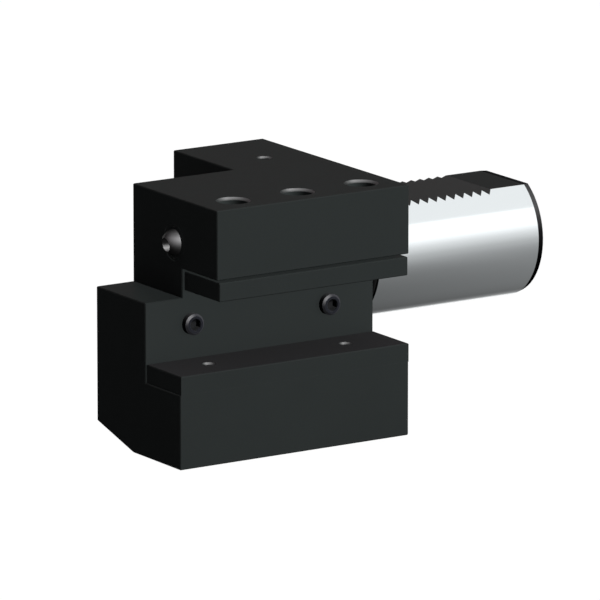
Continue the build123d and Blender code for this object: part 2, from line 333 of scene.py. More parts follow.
def newMaterial(name):
    material = bpy.data.materials.new(name)
    material.use_nodes = True
    tree = material.node_tree
    shader = tree.nodes["Principled BSDF"]
    place = tree.nodes.new("ShaderNodeTexCoord").outputs["Object"]
    return material, tree, shader, place


def placeGroup(tree, group, place, values):
    node = tree.nodes.new("ShaderNodeGroup")
    node.node_tree = group
    tree.links.new(place, node.inputs["Vector"])
    for name, value in values.items():
        node.inputs[name].default_value = value
    return node


def feed(tree, value, socket):
    if isinstance(value, bpy.types.NodeSocket):
        tree.links.new(value, socket)
    else:
        socket.default_value = value


def mixed(tree, kind, factor, first, second):
    mix = addNode(tree, "ShaderNodeMix", {"data_type": kind})
    firstSocket, secondSocket, result = mixSockets[kind]
    tree.links.new(factor, mix.inputs["Factor"])
    feed(tree, first, mix.inputs[firstSocket])
    feed(tree, second, mix.inputs[secondSocket])
    return mix.outputs[result]


def mixNumbers(tree, factor, first, second):
    return mixed(tree, "FLOAT", factor, first, second)


def mixColours(tree, factor, *colours):
    # a plain colour is red, green and blue
    first, second = (value if isinstance(value, bpy.types.NodeSocket) else (*value, 1) for value in colours)
    return mixed(tree, "RGBA", factor, first, second)


def scaledColour(tree, colour, tone):
    node = addNode(tree, "ShaderNodeVectorMath", {"operation": "SCALE"}, {0: colour})
    tree.links.new(tone, node.inputs["Scale"])
    return node.outputs[0]


def unevenRoughness(tree, mottle, roughness, swing):
    return mixNumbers(tree, mottle.outputs["Cloud"], roughness - swing, roughness + swing)


def bump(tree, height, strength):
    node = addNode(tree, "ShaderNodeBump", values={"Strength": strength, "Distance": markHeight * mm})
    tree.links.new(height, node.inputs["Height"])
    return node.outputs["Normal"]


def mathNode(tree, operation, *values):
    node = addNode(tree, "ShaderNodeMath", {"operation": operation})
    for value, socket in zip(values, node.inputs):
        feed(tree, value, socket)
    return node.outputs[0]


def times(tree, first, second):
    return mathNode(tree, "MULTIPLY", first, second)


def minus(tree, first, second):
    return mathNode(tree, "SUBTRACT", first, second)


def above(tree, value, limit):
    return mathNode(tree, "GREATER_THAN", value, limit)


def below(tree, value, limit):
    return mathNode(tree, "LESS_THAN", value, limit)


def between(tree, value, low, high):
    # 1 between two places in millimetres
    return times(tree, above(tree, value, low * mm), below(tree, value, high * mm))


def hypotenuse(tree, first, second):
    squares = mathNode(tree, "ADD", times(tree, first, first), times(tree, second, second))
    return mathNode(tree, "SQRT", squares)


def ramp(tree, value, stops, unit=1):
    # a curve through (place, share) stops, held level outside them
    stops = [(where * unit, grey) for where, grey in stops]
    low, high = stops[0][0], stops[-1][0]
    spread = addNode(tree, "ShaderNodeMapRange", {"clamp": True}, {"From Min": low, "From Max": high})
    tree.links.new(value, spread.inputs["Value"])
    curve = tree.nodes.new("ShaderNodeValToRGB")
    tree.links.new(spread.outputs["Result"], curve.inputs["Fac"])
    elements = curve.color_ramp.elements
    while len(elements) > 1:
        elements.remove(elements[-1])
    for index, (where, grey) in enumerate(stops):
        element = elements[0] if index == 0 else elements.new((where - low) / (high - low))
        element.position = (where - low) / (high - low)
        element.color = (grey, grey, grey, 1)
    return curve.outputs["Color"]


def partsOf(tree, vector):
    split = addNode(tree, "ShaderNodeSeparateXYZ")
    tree.links.new(vector, split.inputs[0])
    return split.outputs


def facing(tree):
    # the parts of the surface's own direction
    return partsOf(tree, addNode(tree, "ShaderNodeNewGeometry").outputs["Normal"])


# Places of the pieces, read from the frame, in millimetres to the micron

toTop, toFront, toBack, toLeft, toRight = (0, 0, 1), (0, -1, 0), (0, 1, 0), (-1, 0, 0), (1, 0, 0)
stopRadius = 4.0


def inMillimetres(place):
    return [round(value / mm, 3) for value in place]


def boxOf(nodeName):
    # the low corner, the middle and the high corner of a CAD node's box
    low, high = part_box(nodeName)
    middle = [(a + b) / 2 for a, b in zip(low, high)]
    return inMillimetres(low), inMillimetres(middle), inMillimetres(high)


def endOf(nodeName, direction):
    # the middle of the box's side that looks along the direction
    low, middle, high = boxOf(nodeName)
    sides = {-1: low, 0: middle, 1: high}
    return [sides[way][axis] for axis, way in enumerate(direction)]


armTop, seatTop = endOf("holder_body", toTop)[2], endOf("seat_plate", toTop)[2]
clampPlaces = [endOf(f"clamp_screw_{number}", toTop)[:2] for number in (1, 2, 3)]
pinPlaces = [endOf(f"seat_plate_screw_{number}", toTop) for number in (1, 2)]
stopHeight = endOf("side_stop_screw_1", toTop)[2] - stopRadius
stopPlaces = [(*endOf(f"side_stop_screw_{number}", toFront)[:2], stopHeight) for number in (1, 2)]
plugPlaces = {"top": endOf("coolant_top_plug", toTop), "back": endOf("coolant_back_plug", toBack)}
ballJoint = next(joint for joint in frame["joints"] if joint["name"] == "nozzle_ball_tilt")
ballX, ballY, ballZ = inMillimetres(ballJoint["pos_m"])
print("places read from the frame")


# The blackened body, seat plate and clamping strip, with the places that are bare, and the painted light and
# shade on them

blackSteel = {
    "colour": (0.0322, 0.0376, 0.0370), "worn": (0.09, 0.09, 0.09), "wearWidth": 0.3, "wear": 0.1,
    "roughness": 0.46, "roughnessSwing": 0.06, "metallic": 0.25, "edgeTint": (0.33, 0.12, 0.13),
    "mottle": {"Cloud Scale": 45.0, "Speck Scale": 1400.0, "Amount": 0.10},
    "marks": (90, 2600, 2600), "bump": 0.12,
}
finishesAndPaintedLight = {  # what each takes over from the black steel: bare finishes, and painted light and shade
    "ground": {"colour": (0.80, 0.84, 0.855), "roughness": 0.13, "metallic": 1.0,
               "edgeTint": (1.0, 1.0, 1.0), "marks": (5200, 60, 60)},
    # painted shade: the bare lead is made near black, as it looks in shade
    "lead": {"colour": (0.015, 0.015, 0.016), "roughness": 0.3, "metallic": 1.0,
             "edgeTint": (0.1, 0.1, 0.1)},
    # painted highlight: the lead's upper part is made lighter
    "leadPaintedHighlight": {"colour": (0.095, 0.095, 0.097), "roughness": 0.3, "metallic": 1.0},
    # painted light: the teeth's flanks that face left are lighter, as if lit
    "flanksPaintedLight": {"colour": (0.115, 0.122, 0.120), "roughness": 0.46},
    # painted light: the slot's wall is lighter, against the shade under the arm
    "slotWallPaintedLight": {"colour": (0.0368, 0.0428, 0.0422), "roughness": 0.46},
    "bored": {"colour": (0.047, 0.055, 0.054), "roughness": 0.46},
    # bare cut metal, with painted light set by the countersinks' shares
    "countersunk": {"colour": (0.33, 0.335, 0.335), "roughness": 0.4, "metallic": 0.0},
    # painted light: the seat plate's top is lighter, against the shade under the arm
    "seat": {"colour": (0.0435, 0.0437, 0.0452), "roughness": 0.46},
    # painted light: the strip's top is lighter, against the shade in the gap under the arm
    "stripTopPaintedLight": {"colour": (0.049, 0.057, 0.056), "roughness": 0.42},
}
# where the bare finishes and the painted light lie
bareAndPaintedLightAreas = {
    "shank": {"radius": 24.9, "start": 3.75, "end": 75.55},
    "leadPaintedHighlight": [(-8.0, 0.0), (4.0, 0.07), (8.4, 0.35), (12.5, 1.0)],  # height and share
    "teeth": {"start": 3.85, "end": 61.0, "low": 18.3, "high": 20.05, "lean": -0.3},
    "slotWallPaintedLight": {"front": -27.0, "back": -25.5, "low": -25.2, "high": 0.2},
    "holeWalls": {"bottom": 26.2, "top": 33.95},
    "stripTop": {"low": 7.6, "high": 8.4},
    "squarely": 0.9,  # how nearly a face looks along an axis to count as facing that way
    # countersinks cut after blackening: x, y, radius, lowest z
    "armHoles": [(*place, 6.6, 33.9) for place in clampPlaces] + [(*plugPlaces["top"][:2], 3.1, 34.2)],
    "plateHoles": [(*place[:2], 2.6, -25.85) for place in pinPlaces],
}
countersinkPaintedLight = {  # painted light: stops with shares of the bright colour
    # by how far the cone looks to the right
    "side": [(-0.63, 0.75), (-0.1, 1.0), (0.06, 0.7), (0.16, 0.42), (0.45, 0.05)],
    "height": [(-1.0, 0.35), (-0.45, 1.0)],  # by the height over the cone's top
    "edge": 0.03,  # how far under the top they end
}


def buildBlackSteel(name, zones):
    # zones gives the finishes and the painted light and shade that lie over the black, each with its mask
    material, tree, shader, place = newMaterial(name)
    link = tree.links.new
    mottle = placeGroup(tree, surfaceMottle, place, blackSteel["mottle"])
    marks = placeGroup(tree, toolMarks, place, {"Stretch": blackSteel["marks"]})
    wear = placeGroup(tree, edgeWear, place, {
        "Width": blackSteel["wearWidth"] * mm, "Amount": blackSteel["wear"]})
    colour = scaledColour(tree, blackSteel["colour"], mottle.outputs["Tone"])
    colour = mixColours(tree, wear.outputs["Mask"], colour, blackSteel["worn"])
    roughness = unevenRoughness(tree, mottle, blackSteel["roughness"], blackSteel["roughnessSwing"])
    height = marks.outputs["Height"]
    metal, tint = blackSteel["metallic"], blackSteel["edgeTint"]
    shader.inputs["Specular IOR Level"].default_value = 0.0
    shader.inputs["Metallic"].default_value = metal
    shader.inputs["Specular Tint"].default_value = (*tint, 1)
    for finishName, mask in zones(tree, place):
        finish = finishesAndPaintedLight[finishName]
        colour = mixColours(tree, mask, colour, finish["colour"])
        roughness = mixNumbers(tree, mask, roughness, finish["roughness"])
        if "metallic" in finish:
            metal = mixNumbers(tree, mask, metal, finish["metallic"])
        if "edgeTint" in finish:
            tint = mixColours(tree, mask, tint, finish["edgeTint"])
        if "marks" in finish:
            rings = placeGroup(tree, toolMarks, place, {"Stretch": finish["marks"]})
            height = mixNumbers(tree, mask, height, rings.outputs["Height"])
    for value, socket in ((metal, "Metallic"), (tint, "Specular Tint")):
        if isinstance(value, bpy.types.NodeSocket):
            link(value, shader.inputs[socket])
    link(colour, shader.inputs["Base Color"])
    link(roughness, shader.inputs["Roughness"])
    link(bump(tree, height, blackSteel["bump"]), shader.inputs["Normal"])
    return material


def nearAxis(tree, parts, x, y, radius):
    # 1 inside a circle round an upright axis
    across, along = minus(tree, parts["X"], x * mm), minus(tree, parts["Y"], y * mm)
    return below(tree, hypotenuse(tree, across, along), radius * mm)


def inHoles(tree, parts, holes, top, bottom=None):
    # 1 on the walls round the holes, between their lowest z, or the one given, and top
    total = None
    for x, y, radius, lowest in holes:
        level = between(tree, parts["Z"], lowest if bottom is None else bottom, top)
        here = times(tree, nearAxis(tree, parts, x, y, radius), level)
        total = here if total is None else mathNode(tree, "MAXIMUM", total, here)
    return total


def countersinks(tree, parts, holes, top):
    # cones that open upwards, cut bare, with painted light: bright at the back, duller towards the left and
    # the bottom
    heights = [(top + under, share) for under, share in countersinkPaintedLight["height"]]
    side = ramp(tree, facing(tree)["X"], countersinkPaintedLight["side"])
    share = times(tree, side, ramp(tree, parts["Z"], heights, mm))
    return times(tree, inHoles(tree, parts, holes, top - countersinkPaintedLight["edge"]), share)


def bodyZones(tree, place):
    parts, normal = partsOf(tree, place), facing(tree)
    area, teeth, wall = bareAndPaintedLightAreas["shank"], bareAndPaintedLightAreas["teeth"], bareAndPaintedLightAreas["slotWallPaintedLight"]
    holes, bores = bareAndPaintedLightAreas["armHoles"], bareAndPaintedLightAreas["holeWalls"]
    outside = above(tree, hypotenuse(tree, parts["Y"], parts["Z"]), area["radius"] * mm)
    shank = times(tree, outside, between(tree, parts["X"], area["start"], area["end"]))
    lead = above(tree, parts["X"], area["end"] * mm)
    # painted highlight: the lead gets lighter towards its top
    leadHighlightShare = ramp(tree, parts["Z"], bareAndPaintedLightAreas["leadPaintedHighlight"], mm)
    # painted light on the slot's wall
    inSlot = times(tree, between(tree, parts["Y"], wall["front"], wall["back"]),
                   between(tree, parts["Z"], wall["low"], wall["high"]))
    forward = below(tree, normal["Y"], -bareAndPaintedLightAreas["squarely"])
    inTeeth = times(tree, between(tree, parts["X"], teeth["start"], teeth["end"]),
                    between(tree, parts["Z"], teeth["low"], teeth["high"]))
    # painted light on the teeth's flanks that face left
    leaning = below(tree, normal["X"], teeth["lean"])
    return [
        ("ground", shank),
        ("lead", lead),
        ("leadPaintedHighlight", times(tree, lead, leadHighlightShare)),
        ("flanksPaintedLight", times(tree, leaning, inTeeth)),
        ("slotWallPaintedLight", times(tree, inSlot, forward)),
        ("bored", inHoles(tree, parts, holes, bores["top"], bores["bottom"])),
        ("countersunk", countersinks(tree, parts, holes, armTop)),
    ]


def plateZones(tree, place):
    # painted light: the seat's upward faces are lighter, against the shade under the arm
    upward = above(tree, facing(tree)["Z"], bareAndPaintedLightAreas["squarely"])
    holes = countersinks(tree, partsOf(tree, place), bareAndPaintedLightAreas["plateHoles"], seatTop)
    return [("seat", upward), ("countersunk", holes)]


def stripZones(tree, place):
    # painted light: the upper face is lighter, against the shade in the gap under the arm
    area = bareAndPaintedLightAreas["stripTop"]
    level = between(tree, partsOf(tree, place)["Z"], area["low"], area["high"])
    upward = above(tree, facing(tree)["Z"], bareAndPaintedLightAreas["squarely"])
    return [("stripTopPaintedLight", times(tree, upward, level))]


bodyMaterial = buildBlackSteel("blackenedBody", bodyZones)
plateMaterial = buildBlackSteel("blackenedPlate", plateZones)
stripMaterial = buildBlackSteel("blackenedStrip", stripZones)
ownMaterials = {"holder_body": bodyMaterial, "seat_plate": plateMaterial, "clamping_strip": stripMaterial}
for nodeName, material in ownMaterials.items():
    nodes[nodeName].material_slots[0].material = material
print("blackened steel built")


# The other steels and the rubber; the shine functions paint light and shade: they give the share of the
# bright colour at each place

metalSkin = {
    "mottle": {"Cloud Scale": 220.0, "Speck Scale": 2500.0, "Amount": 0.18},
    "breakScale": 700.0, "roughnessSwing": 0.15,
}
screwSteel = {
    "colour": (0.028, 0.030, 0.038), "worn": (0.18, 0.18, 0.19), "wearWidth": 0.3, "wear": 0.4,
    "roughness": 0.32, "metallic": 0.5, "specular": 0.1, "marks": (900, 900, 900), "bump": 0.08,
}
springSteel = {
    "colour": (0.20, 0.20, 0.215), "worn": (0.4, 0.4, 0.4), "wearWidth": 0.2, "wear": 0.5,
    "roughness": 0.34, "metallic": 1.0, "specular": 0.5, "marks": (1500, 1500, 200), "bump": 0.08,
}
# painted highlight for the side stops' rim chamfers: dark steel, bright towards the upper left
rimSteelPaintedHighlight = {
    "colour": (0.058, 0.059, 0.066), "bright": (0.34, 0.34, 0.35),
    "worn": (0.09, 0.09, 0.09), "wearWidth": 0.2, "wear": 0.2,
    "roughness": 0.4, "metallic": 0.0, "specular": 0.0, "marks": (900, 900, 900), "bump": 0.05,
    "shine": [(0.65, 0.0), (0.8, 0.2), (0.88, 0.42), (0.94, 0.65), (1.0, 1.0)],
}
# painted shade and light for a side stop's socket and collar: near black, lighter where light from above
# would fall
socketPaintedLightAndShade = {
    "colour": (0.008, 0.008, 0.009), "bright": (0.060, 0.062, 0.064),
    "worn": (0.09, 0.09, 0.09), "wearWidth": 0.2, "wear": 0.1,
    "roughness": 0.45, "metallic": 0.0, "specular": 0.0, "marks": (1500, 1500, 1500), "bump": 0.05,
    "lit": [(0.1, 0.27), (0.8, 0.0)], "bottom": [(-0.6, 1.0), (-0.4, 0.0)],
    "ledges": [(0.3, 0.0), (0.6, 1.0)],
}
# painted reflection for the nozzle ball: near black, with a bright band where it would mirror a light room
ballSteelPaintedReflection = {
    "colour": (0.006, 0.006, 0.006), "bright": (0.41, 0.41, 0.415),
    "worn": (0.03, 0.03, 0.03), "wearWidth": 0.2, "wear": 0.1,
    "roughness": 0.35, "metallic": 0.0, "specular": 0.03, "marks": (700, 700, 700), "bump": 0.03,
    "up": [(-2.5, 0.035), (-1.7, 0.06), (-0.87, 0.14), (0.0, 0.33), (0.87, 0.62), (1.7, 0.92), (2.4, 1.0),
           (3.5, 0.55), (4.3, 0.27), (5.0, 0.1)],
    "across": [(-4.8, 1.0), (-4.3, 0.86), (-3.5, 0.74), (-2.2, 0.65), (-1.1, 0.46), (0.0, 0.19),
               (1.0, 0.08)],
}
# painted light for the coolant outlet: near black, bright low on its wall
outletSteelPaintedLight = {
    "colour": (0.006, 0.006, 0.006), "bright": (0.46, 0.46, 0.46),
    "worn": (0.03, 0.03, 0.03), "wearWidth": 0.2, "wear": 0.1,
    "roughness": 0.5, "metallic": 0.0, "specular": 0.0, "marks": (1200, 1200, 1200), "bump": 0.05,
    "up": [(-3.2, 0.1), (-2.8, 0.5), (-2.2, 0.95), (-1.6, 0.55), (-1.0, 0.13), (-0.5, 0.02), (0.0, 0.01)],
}
blackRubber = {
    "colour": (0.008, 0.008, 0.008), "roughness": 0.62, "roughnessSwing": 0.08,
    "specular": 0.08, "bump": 0.15,
    "mottle": {"Cloud Scale": 150.0, "Speck Scale": 3000.0, "Amount": 0.3},
}


def rimPaintedHighlight(tree, place):
    # painted highlight: a chamfer is painted brightest where it looks up and to the left
    normal = facing(tree)
    return ramp(tree, minus(tree, normal["Z"], normal["X"]), rimSteelPaintedHighlight["shine"])


def socketPaintedLight(tree, place):
    # painted light and shade in a side stop's socket: the ledges and the lower half of the bottom are
    # painted lit, as if by light from above, and the rest dark
    normal = facing(tree)
    height = minus(tree, partsOf(tree, place)["Z"], stopHeight * mm)
    lit = ramp(tree, height, socketPaintedLightAndShade["lit"], mm)
    bottom = ramp(tree, normal["Y"], socketPaintedLightAndShade["bottom"])
    ledges = ramp(tree, normal["Z"], socketPaintedLightAndShade["ledges"])
    return mathNode(tree, "MAXIMUM", ledges, times(tree, bottom, lit))


def ballPaintedReflection(tree, place):
    # painted reflection: a polished ball painted with a band of a light room's reflection, as seen from its
    # front side
    parts = partsOf(tree, place)
    up = ramp(tree, minus(tree, parts["Z"], ballZ * mm), ballSteelPaintedReflection["up"], mm)
    across = ramp(tree, minus(tree, parts["Y"], ballY * mm), ballSteelPaintedReflection["across"], mm)
    return times(tree, up, across)


def outletPaintedLight(tree, place):
    # painted light: the outlet's wall is painted lit low down and dark above
    return ramp(tree, minus(tree, partsOf(tree, place)["Z"], ballZ * mm), outletSteelPaintedLight["up"], mm)


def buildMetal(name, spec, shine=None):
    material, tree, shader, place = newMaterial(name)
    link = tree.links.new
    mottle = placeGroup(tree, surfaceMottle, place, metalSkin["mottle"])
    marks = placeGroup(tree, toolMarks, place, {"Stretch": spec["marks"]})
    wear = placeGroup(tree, edgeWear, place, {
        "Width": spec["wearWidth"] * mm, "Amount": spec["wear"], "Break Scale": metalSkin["breakScale"]})
    colour = scaledColour(tree, spec["colour"], mottle.outputs["Tone"])
    colour = mixColours(tree, wear.outputs["Mask"], colour, spec["worn"])
    if shine:
        colour = mixColours(tree, shine(tree, place), colour, spec["bright"])
    swing = spec["roughness"] * metalSkin["roughnessSwing"]
    roughness = unevenRoughness(tree, mottle, spec["roughness"], swing)
    link(colour, shader.inputs["Base Color"])
    link(roughness, shader.inputs["Roughness"])
    link(bump(tree, marks.outputs["Height"], spec["bump"]), shader.inputs["Normal"])
    shader.inputs["Specular IOR Level"].default_value = spec["specular"]
    shader.inputs["Metallic"].default_value = spec["metallic"]
    return material


def buildRubber():
    material, tree, shader, place = newMaterial("blackRubber")
    link = tree.links.new
    mottle = placeGroup(tree, surfaceMottle, place, blackRubber["mottle"])
    tone = mottle.outputs["Tone"]
    roughness = unevenRoughness(tree, mottle, blackRubber["roughness"], blackRubber["roughnessSwing"])
    link(scaledColour(tree, blackRubber["colour"], tone), shader.inputs["Base Color"])
    link(roughness, shader.inputs["Roughness"])
    link(bump(tree, tone, blackRubber["bump"]), shader.inputs["Normal"])
    shader.inputs["Specular IOR Level"].default_value = blackRubber["specular"]
    return material


screwMaterial = buildMetal("blackScrewSteel", screwSteel)
springMaterial = buildMetal("springSteel", springSteel)
rimMaterial = buildMetal("rimSteelPaintedHighlight", rimSteelPaintedHighlight, rimPaintedHighlight)
socketLightAndShadeMaterial = buildMetal("socketPaintedLightAndShade", socketPaintedLightAndShade, socketPaintedLight)
ballMaterial = buildMetal("polishedSteelPaintedReflection", ballSteelPaintedReflection, ballPaintedReflection)
boreMaterial = buildMetal("outletSteelPaintedLight", outletSteelPaintedLight, outletPaintedLight)
rubberMaterial = buildRubber()
print("other steels and rubber built")


# Clamp screws with their snap rings

clampScrew = {
    "rest": 8.05, "length": 18.0, "crest": 5.43, "pitch": 1.75, "threadDepth": 0.85, "chamfer": 0.7,
    "socket": 6.0, "socketDepth": 7.0,
    "dogRadius": 3.5, "dogTip": 1.5, "dogEdge": 0.3, "dogOverlap": 0.6,
    "neckRadius": 2.75, "neckLow": 2.2, "neckHigh": 4.0,
}


def makeClampScrew():
    spec = clampScrew
    rest, top, edge = spec["rest"], spec["rest"] + spec["length"], spec["dogEdge"]
    dog, tip, neck = spec["dogRadius"], spec["dogTip"], spec["neckRadius"]
    screw = threadedBar(spec, rest, top)
    combine(screw, turned([
        (0, tip), (dog - edge, tip), (dog, tip + edge), (dog, spec["neckLow"]), (neck, spec["neckLow"]),
        (neck, spec["neckHigh"]), (dog, spec["neckHigh"]), (dog, rest + spec["dogOverlap"]),
        (0, rest + spec["dogOverlap"]),
    ]), "UNION")
    cutSocket(screw, spec, top)
    tidyMesh(screw, sliverGap)
    smoothed(screw)
    return screw


snapRing = {
    "outer": 5.0, "inner": 2.8, "thickness": 0.9, "low": 2.65, "edge": 0.12, "steps": 72,
    "mouth": 3.4, "mouthCut": 4.0,
    "notchAngles": (100, 260), "notchCentre": 2.95, "notchRadius": 1.35, "notchSteps": 32,
}


def makeSnapRing():
    # three inner lobes hold the neck, with two notches and the mouth between them
    spec = snapRing
    low, high = spec["low"], spec["low"] + spec["thickness"]
    inner, outer, notchRadius = spec["inner"], spec["outer"], spec["notchRadius"]
    ring = turned([(inner, low), (outer, low), (outer, high), (inner, high), (inner, low)], spec["steps"])
    for angle in spec["notchAngles"]:
        a = math.radians(angle)
        notch = turned([(0, low - overcut), (notchRadius, low - overcut), (notchRadius, high + overcut),
                        (0, high + overcut)], spec["notchSteps"])
        notch.location = Vector((math.cos(a), math.sin(a), 0)) * spec["notchCentre"] * mm
        combine(ring, notch, "DIFFERENCE")
    combine(ring, boxBar((outer * 2, spec["mouth"], spec["mouthCut"]), (outer, 0, low)), "DIFFERENCE")
    tidyMesh(ring)
    softened(ring, spec["edge"])
    tidyMesh(ring, sliverGap)
    smoothed(ring)
    return ring


firstScrew = makeClampScrew()
firstRing = makeSnapRing()
for number, place in enumerate(clampPlaces, start=1):
    last = number == len(clampPlaces)
    body, ringNode = f"clamp_screw_{number}", f"screw_retaining_ring_{number}"
    screw = firstScrew if last else copied(firstScrew)
    ring = firstRing if last else copied(firstRing)
    placed(screw, (*place, 0), toTop)
    placed(ring, (*place, 0), toTop)
    finishPiece(screw, f"clampScrew{number}", screwMaterial, f"clamp_screw_{number}", body)
    finishPiece(ring, f"snapRing{number}", springMaterial, ringNode, body)
print("clamp screws and snap rings made")


# The other set screws: side stops, seat plate pins and drilling plugs

sideStop = {
    "length": 20.0, "crest": stopRadius, "pitch": 1.25, "threadDepth": 0.6, "chamfer": 0.75,
    "socket": 4.0, "socketDepth": 3.0,
    "collar": 3.2, "threadIn": 0.3, "coreBelow": 0.4,
    # where the rim with its painted highlight and the socket with its painted shade begin, and how steep the
    # rim may be
    "rimRadius": 2.52, "rimTop": 0.01, "rimSteep": 0.35, "rimFlat": 0.95, "socketShadeTop": -0.45,
}
platePin = {
    "length": 12.0, "crest": 1.7, "pitch": 0.7, "threadDepth": 0.3, "chamfer": 0.35,
    "socket": 2.0, "socketDepth": 2.0,
}
topPlug = {
    "length": 6.0, "crest": 2.25, "pitch": 0.8, "threadDepth": 0.35, "chamfer": 0.35,
    "socket": 2.5, "socketDepth": 3.0,
}
backPlug = {
    "length": 8.0, "crest": 3.8, "pitch": 1.0, "threadDepth": 0.5, "chamfer": 0.4,
    "socket": 4.0, "socketDepth": 3.0,
}


def makeSetScrew(spec):
    # socket end at height 0, the point end below it; a plain collar carries the chamfer if there is one
    collar = spec.get("collar")
    screw = threadedBar(spec, -spec["length"], spec["threadIn"] - collar if collar else 0)
    if collar:
        crest, cut, core = spec["crest"], spec["chamfer"], spec["crest"] - spec["threadDepth"]
        foot = -collar - spec["coreBelow"]
        combine(screw, turned([
            (0, 0), (crest - cut, 0), (crest, -cut), (crest, -collar), (core, foot), (0, foot)]), "UNION")
    cutSocket(screw, spec, 0)
    tidyMesh(screw, sliverGap)
    smoothed(screw)
    return screw


def paintStop(screw):
    # painted highlight on the chamfer at the socket end, and painted shade and light on the socket and the
    # plain collar
    spec = sideStop
    giveMaterials(screw, screwMaterial, rimMaterial, socketLightAndShadeMaterial)
    for face in screw.data.polygons:
        centre, upward = face.center / mm, face.normal.z
        inside = math.hypot(centre.x, centre.y) < spec["rimRadius"]
        atRim = -spec["chamfer"] < centre.z < spec["rimTop"] and not inside
        onCollar = centre.z > -spec["collar"] and abs(upward) < spec["rimSteep"]
        if atRim and spec["rimSteep"] < upward < spec["rimFlat"]:
            face.material_index = 1
        elif inside and centre.z < spec["socketShadeTop"] or onCollar:
            face.material_index = 2


def addPair(first, title, node, places, direction, bodies):
    # the screw and its copy, each at its place
    for number, (place, body) in enumerate(zip(places, bodies), start=1):
        screw = first if number == len(places) else copied(first)
        placed(screw, place, direction)
        finishPiece(screw, f"{title}{number}", screwMaterial, f"{node}_{number}", body)


def addPlug(spec, side, direction):
    plug = makeSetScrew(spec)
    placed(plug, plugPlaces[side], direction)
    finishPiece(plug, f"{side}Plug", screwMaterial, f"coolant_{side}_plug", "holder")


stop = makeSetScrew(sideStop)
paintStop(stop)
addPair(stop, "sideStop", "side_stop_screw", stopPlaces, toFront, ("side_stop_1", "side_stop_2"))
pin = makeSetScrew(platePin)
addPair(pin, "platePin", "seat_plate_screw", pinPlaces, toTop, ("holder", "holder"))
addPlug(topPlug, "top", toTop)
addPlug(backPlug, "back", toBack)
print("set screws and plugs made")


# Coolant nozzle: ring, ball and the rubber ring behind it

nozzle = {
    "ballRadius": 5.0, "seatRadius": 5.05, "drop": 8.0,
    "steps": 96, "ballArc": 40, "seatArc": 8,
    "jet": 2.5, "jetDepth": 5.0, "jetEdge": 0.25, "mouthDrop": 0.6,
    "inlet": 1.8, "inletEdge": 0.1, "coneTop": 0.1, "coneBottom": 0.3,
    "boreGap": 0.02, "boreSkin": 0.2,  # faces this near the jet's wall, and this far inside the ball
    "ringLength": 5.0, "ringRadius": 7.0, "ringEdge": 0.12, "softEdge": 0.06,
    "grooveTop": 1.5, "grooveBottom": 2.65, "grooveDepth": 0.35, "grooveSlope": 0.25,
    "pinLine": 6.0, "pinRadius": 0.5, "pinDepth": 1.2, "pinTip": 0.25, "pinOver": 0.5, "pinSteps": 24,
    "shadeReach": 0.08, "shadeBelow": 0.01,  # faces this near a spanner hole, and this far under the front, get painted shade
    "seal": 3.75, "sealCord": 1.0, "sealGap": 0.05,
}
ringPlace = endOf("nozzle_ring", toLeft)


def nozzleRingProfile(spec):
    # the outer face at height 0, the ball's centre just below; a groove runs round the outside
    seat, outer, edge, length = spec["seatRadius"], spec["ringRadius"], spec["ringEdge"], spec["ringLength"]
    depth = ballX - ringPlace[0]
    inside = arcPoints((0, -depth), seat, 0, math.degrees(math.asin(depth / seat)), spec["seatArc"])
    grooved, slope = outer - spec["grooveDepth"], spec["grooveSlope"]
    grooveTop, grooveBottom = -spec["grooveTop"], -spec["grooveBottom"]
    return [(seat, -length)] + inside + [
        (outer - edge, 0), (outer, -edge), (outer, grooveTop), (grooved, grooveTop - slope),
        (grooved, grooveBottom + slope), (outer, grooveBottom), (outer, edge - length),
        (outer - edge, -length), (seat, -length),
    ]


def makeNozzleRing():
    spec = nozzle
    pin, line, over, tip = spec["pinRadius"], spec["pinLine"], spec["pinOver"], -spec["pinDepth"]
    ring = turned(nozzleRingProfile(spec), spec["steps"])
    for side in (-1, 1):
        hole = turned([(0, tip), (pin, tip + spec["pinTip"]), (pin, over), (0, over)], spec["pinSteps"])
        hole.location.x = side * line * mm
        combine(ring, hole, "DIFFERENCE")
    tidyMesh(ring)
    softened(ring, spec["softEdge"])
    giveMaterials(ring, stripMaterial, rubberMaterial)
    for face in ring.data.polygons:
        # painted shade: the two spanner holes get the black rubber
        centre = face.center / mm
        reach = math.hypot(abs(centre.x) - line, centre.y)
        if reach < pin + spec["shadeReach"] and centre.z < -spec["shadeBelow"]:
            face.material_index = 1
    smoothed(ring)
    return ring


def makeNozzleBall():
    # upright with the outlet at the top, centred on the ball
    spec = nozzle
    radius, jet, inlet, edge = spec["ballRadius"], spec["jet"], spec["inlet"], spec["jetEdge"]
    floor = radius - spec["jetDepth"]
    coneTop, coneBottom = floor + spec["coneTop"], floor - spec["coneBottom"]
    start = math.degrees(math.asin(-math.sqrt(radius ** 2 - inlet ** 2) / radius))
    end = math.degrees(math.acos((jet + edge) / radius))
    outside = arcPoints((0, 0), radius, start, end, spec["ballArc"])
    mouthHeight = outside[-1][1] - edge * spec["mouthDrop"]
    ball = turned(outside + [
        (jet, mouthHeight), (jet, coneTop), (inlet + spec["inletEdge"], coneBottom),
        (inlet, coneBottom - spec["inletEdge"]), outside[0]], spec["steps"])
    giveMaterials(ball, ballMaterial, boreMaterial)
    for face in ball.data.polygons:
        centre = face.center / mm
        reach = math.hypot(centre.x, centre.y)
        if reach < jet + spec["boreGap"] and centre.length < radius - spec["boreSkin"]:
            face.material_index = 1
    smoothed(ball, angle=25)
    return ball


rubberShape = {"sides": 24, "flash": 0.04, "steps": 96}


